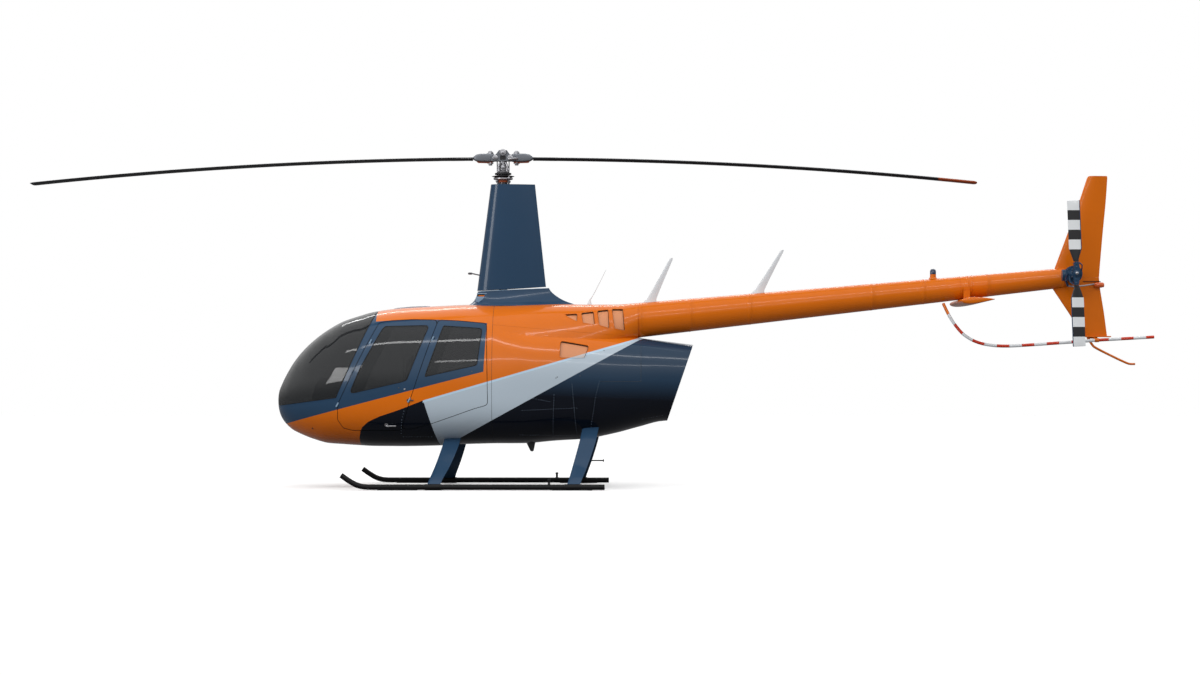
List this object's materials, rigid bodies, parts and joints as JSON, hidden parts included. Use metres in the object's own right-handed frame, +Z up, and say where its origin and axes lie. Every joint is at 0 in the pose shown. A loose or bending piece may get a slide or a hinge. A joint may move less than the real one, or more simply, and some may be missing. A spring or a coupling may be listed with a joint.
{
  "type": "light helicopter",
  "caption": "Light turbine helicopter with a teetering main rotor on a tall mast, a tail rotor, hinged cabin doors and skids.",
  "frame": {"origin": "centre of the whole machine's plan, on the ground plane that its skid shoes stand on", "axes": "+X from nose to tail, +Y to the machine's right side, +Z up; the rotor mast stands at X = -0.8925"},
  "size_m": [11.5849, 2.255, 3.47],
  "materials": {
    "blue_paint": "gloss",
    "door_paint": "gloss",
    "navy_paint": "gloss",
    "orange_paint": "gloss",
    "tail_paint": "gloss",
    "black_paint": "satin",
    "skid_paint": "satin",
    "blade_paint": "satin",
    "glass": "polished",
    "seat_leather": "matte",
    "trim_plastic": "matte",
    "engine_metal": "satin",
    "steel": "satin",
    "white_paint": "gloss",
    "lamp": "gloss"
  },
  "bodies": {
    "airframe": {"cabin_shell": "blue_paint", "windshield_left": "glass", "windshield_right": "glass", "rear_bulkhead": "trim_plastic", "cabin_floor": "trim_plastic", "front_seat_left": "seat_leather", "front_seat_right": "seat_leather", "rear_bench": "seat_leather", "instrument_console": "trim_plastic", "cyclic_stick": "black_paint", "engine_cowl": "navy_paint", "engine_block": "engine_metal", "exhaust_duct": "steel", "roof_cowling": "orange_paint", "mast_base_fairing": "blue_paint", "mast_fairing": "blue_paint", "pitot_tube": "steel", "tailcone": "orange_paint", "upper_fin": "tail_paint", "lower_fin": "tail_paint", "horizontal_stabilizer": "tail_paint", "tail_gearbox": "blue_paint", "tail_guard": "white_paint", "tail_skid": "orange_paint", "beacon": "lamp", "tail_light": "lamp", "antenna_whip": "white_paint", "antenna_blade_front": "white_paint", "antenna_blade_rear": "white_paint", "belly_antenna": "white_paint", "skid_left": "skid_paint", "skid_right": "skid_paint", "leg_front_left": "blue_paint", "leg_front_right": "blue_paint", "leg_rear_left": "blue_paint", "leg_rear_right": "blue_paint"},
    "main_rotor": {"rotor_shaft": "steel", "rotor_hub": "black_paint", "main_blade_front": "blade_paint", "main_blade_rear": "blade_paint"},
    "tail_rotor": {"tail_rotor_hub": "blue_paint", "tail_blade_upper": "white_paint", "tail_blade_lower": "white_paint"},
    "front_left_door": {"door_front_left": "door_paint", "window_front_left": "glass"},
    "rear_left_door": {"door_rear_left": "door_paint", "window_rear_left": "glass"},
    "front_right_door": {"door_front_right": "door_paint", "window_front_right": "glass"},
    "rear_right_door": {"door_rear_right": "door_paint", "window_rear_right": "glass"}
  },
  "joints": [
    {"name": "main_rotor_spin", "type": "hinge", "parent": "airframe", "child": "main_rotor", "pos_m": [-0.8925, 0, 3.416], "axis": [0, 0, 1], "continuous": true},
    {"name": "tail_rotor_spin", "type": "hinge", "parent": "airframe", "child": "tail_rotor", "pos_m": [4.9775, -0.42, 2.19], "axis": [0, 1, 0], "continuous": true},
    {"name": "front_left_door_hinge", "type": "hinge", "parent": "airframe", "child": "front_left_door", "pos_m": [-2.5525, -0.668, 0.849], "axis": [-0.4609, 0, -0.8875], "range_deg": [0, 80]},
    {"name": "rear_left_door_hinge", "type": "hinge", "parent": "airframe", "child": "rear_left_door", "pos_m": [-1.8135, -0.765, 0.849], "axis": [-0.3116, -0.0711, -0.9476], "range_deg": [0, 80]},
    {"name": "front_right_door_hinge", "type": "hinge", "parent": "airframe", "child": "front_right_door", "pos_m": [-2.5525, 0.668, 0.849], "axis": [0.4609, 0, 0.8875], "range_deg": [0, 80]},
    {"name": "rear_right_door_hinge", "type": "hinge", "parent": "airframe", "child": "rear_right_door", "pos_m": [-1.8135, 0.765, 0.849], "axis": [0.3116, -0.0711, 0.9476], "range_deg": [0, 80]}
  ]
}
